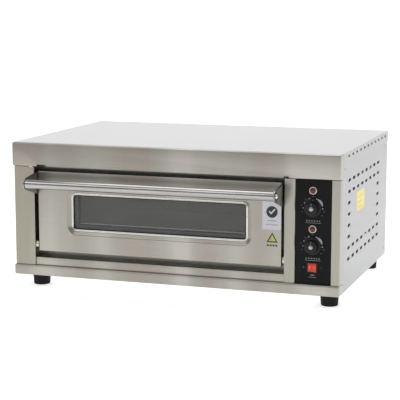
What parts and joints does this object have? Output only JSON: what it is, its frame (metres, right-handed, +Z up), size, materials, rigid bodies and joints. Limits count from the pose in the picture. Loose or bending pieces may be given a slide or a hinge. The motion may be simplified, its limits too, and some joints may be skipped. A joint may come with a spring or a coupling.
{
  "type": "deck oven",
  "caption": "Electric one-deck baking oven with a drop-down window door, tubular handle, control bay with dials and a lamp switch, and rubber feet.",
  "frame": {"origin": "floor level, under the middle of the whole oven, handle and cable gland included", "axes": "+X to the right seen from the front, +Y from the door to the back, +Z up"},
  "size_m": [0.9, 0.7001, 0.4],
  "materials": {
    "brushed_steel": "brushed, soft vertical reflections",
    "cover_paint": "pale grey powder coat, satin",
    "panel_black": "black, satin",
    "polished_steel": "polished",
    "foot_rubber": "matt black",
    "clear_glass": "clear, slightly grey",
    "chamber_steel": "aluminised, heat-dulled",
    "deck_plate": "dark, baked",
    "element_sheath": "oxidised sheath",
    "mineral_wool": "soft fibre",
    "seal_rope": "braided glass fibre",
    "black_plastic": "satin black",
    "red_plastic": "red, glossy",
    "lamp_red": "dark red lens in a metal bezel",
    "holder_ceramic": "glazed white",
    "bush_brass": "turned, nickel-washed",
    "plated_steel": "zinc plated"
  },
  "bodies": {
    "oven": {"fascia": "brushed_steel", "base_rail": "brushed_steel", "left_post": "brushed_steel", "centre_post": "brushed_steel", "right_post": "brushed_steel", "door_sill": "brushed_steel", "top_cover": "cover_paint", "left_side_panel": "cover_paint", "right_side_panel": "cover_paint", "rear_panel": "cover_paint", "bottom_pan": "cover_paint", "control_panel": "panel_black", "foot_front_left": "foot_rubber", "foot_front_right": "foot_rubber", "foot_rear_left": "foot_rubber", "foot_rear_right": "foot_rubber", "lamp_cover": "clear_glass", "lamp_bulb": "clear_glass", "chamber_face_plate": "chamber_steel", "chamber_floor": "chamber_steel", "chamber_roof": "chamber_steel", "chamber_left_wall": "chamber_steel", "chamber_right_wall": "chamber_steel", "chamber_rear_wall": "chamber_steel", "bay_partition": "chamber_steel", "steam_vent_pipe": "chamber_steel", "hearth_deck": "deck_plate", "upper_element": "element_sheath", "lower_element": "element_sheath", "insulation_top": "mineral_wool", "insulation_bottom": "mineral_wool", "insulation_wrap": "mineral_wool", "rocker_housing": "black_plastic", "cable_gland": "black_plastic", "upper_indicator": "lamp_red", "lower_indicator": "lamp_red", "lamp_holder": "holder_ceramic", "left_hinge_bush": "bush_brass", "right_hinge_bush": "bush_brass", "door_spring": "plated_steel", "upper_thermostat": "plated_steel", "lower_thermostat": "plated_steel"},
    "door": {"door_skin": "brushed_steel", "window_trim": "polished_steel", "window_outer_pane": "clear_glass", "window_inner_pane": "clear_glass", "window_spacer": "chamber_steel", "door_liner": "chamber_steel", "door_insulation": "mineral_wool", "door_gasket": "seal_rope", "left_handle_ear": "polished_steel", "right_handle_ear": "polished_steel", "handle_tube": "polished_steel", "left_hinge_shaft": "plated_steel", "right_hinge_shaft": "plated_steel"},
    "upper_dial": {"upper_knob": "black_plastic", "upper_knob_shaft": "polished_steel"},
    "lower_dial": {"lower_knob": "black_plastic", "lower_knob_shaft": "polished_steel"},
    "rocker": {"rocker_button": "red_plastic"}
  },
  "joints": [
    {"name": "door_hinge", "type": "hinge", "parent": "oven", "child": "door", "pos_m": [0, -0.2519, 0.123], "axis": [1, 0, 0], "range_deg": [0, 90], "stiffness_Nm_per_rad": 2, "springref_deg": -34.38},
    {"name": "upper_dial_turn", "type": "hinge", "parent": "oven", "child": "upper_dial", "pos_m": [0.378, -0.2659, 0.2633], "axis": [0, 1, 0], "range_deg": [0, 290]},
    {"name": "lower_dial_turn", "type": "hinge", "parent": "oven", "child": "lower_dial", "pos_m": [0.378, -0.2659, 0.1663], "axis": [0, 1, 0], "range_deg": [0, 290]},
    {"name": "rocker_tilt", "type": "hinge", "parent": "oven", "child": "rocker", "pos_m": [0.378, -0.2624, 0.1105], "axis": [0, 0, 1], "range_deg": [0, 16]}
  ]
}
